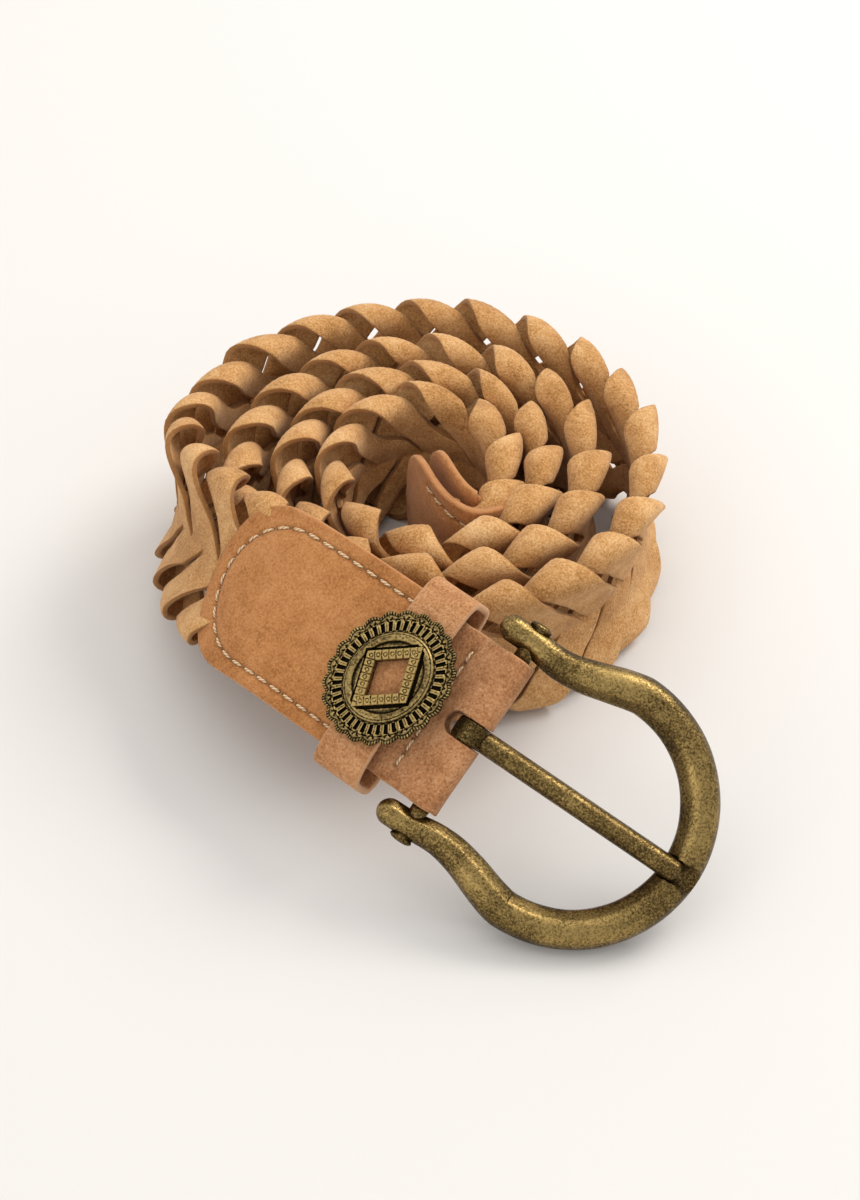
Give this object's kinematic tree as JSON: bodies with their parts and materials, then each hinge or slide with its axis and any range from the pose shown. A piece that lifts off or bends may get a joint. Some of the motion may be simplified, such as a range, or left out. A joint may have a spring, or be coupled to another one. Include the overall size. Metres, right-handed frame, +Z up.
{
  "type": "braided suede belt",
  "caption": "Braided suede belt rolled on its edge, with a horseshoe buckle, a stitched buckle tab and an oval concho on a sliding keeper.",
  "frame": {"origin": "middle of the whole part's outline, on the surface that the coil stands on", "axes": "+Z up, along the axis of the coil; +Y from the buckle to the coil; +X to the right of the buckle"},
  "size_m": [0.126, 0.1748, 0.053],
  "materials": {
    "braid_suede": "matte",
    "panel_suede": "matte",
    "chape_suede": "matte",
    "waxed_thread": "matte",
    "antique_brass": "satin",
    "concho_brass": "satin"
  },
  "bodies": {
    "strap": {"thong_1": "braid_suede", "thong_2": "braid_suede", "thong_3": "braid_suede", "thong_4": "braid_suede", "thong_5": "braid_suede", "tab_front_panel": "panel_suede", "tab_back_panel": "panel_suede", "tab_stitching": "waxed_thread", "tip_front_panel": "panel_suede", "tip_back_panel": "panel_suede", "tip_stitching": "waxed_thread", "chape": "chape_suede", "chape_stitching": "waxed_thread"},
    "keeper": {"keeper_loop": "chape_suede", "keeper_stitching": "waxed_thread", "concho": "concho_brass"},
    "buckle": {"buckle_frame": "antique_brass", "buckle_bar": "antique_brass"},
    "prong": {"prong": "antique_brass"}
  },
  "joints": [
    {"name": "keeper_slide", "type": "slide", "parent": "strap", "child": "keeper", "axis": [0.7631, -0.6403, -0.0872], "range_m": [-0.01, 0.001]},
    {"name": "buckle_pivot", "type": "hinge", "parent": "strap", "child": "buckle", "pos_m": [0.0102, -0.05285, 0.033], "axis": [0.5593, 0.5868, 0.5855], "range_deg": [-40, 60]},
    {"name": "prong_pivot", "type": "hinge", "parent": "buckle", "child": "prong", "pos_m": [0.0102, -0.05285, 0.033], "axis": [0.5593, 0.5868, 0.5855], "range_deg": [-70, 0]}
  ]
}
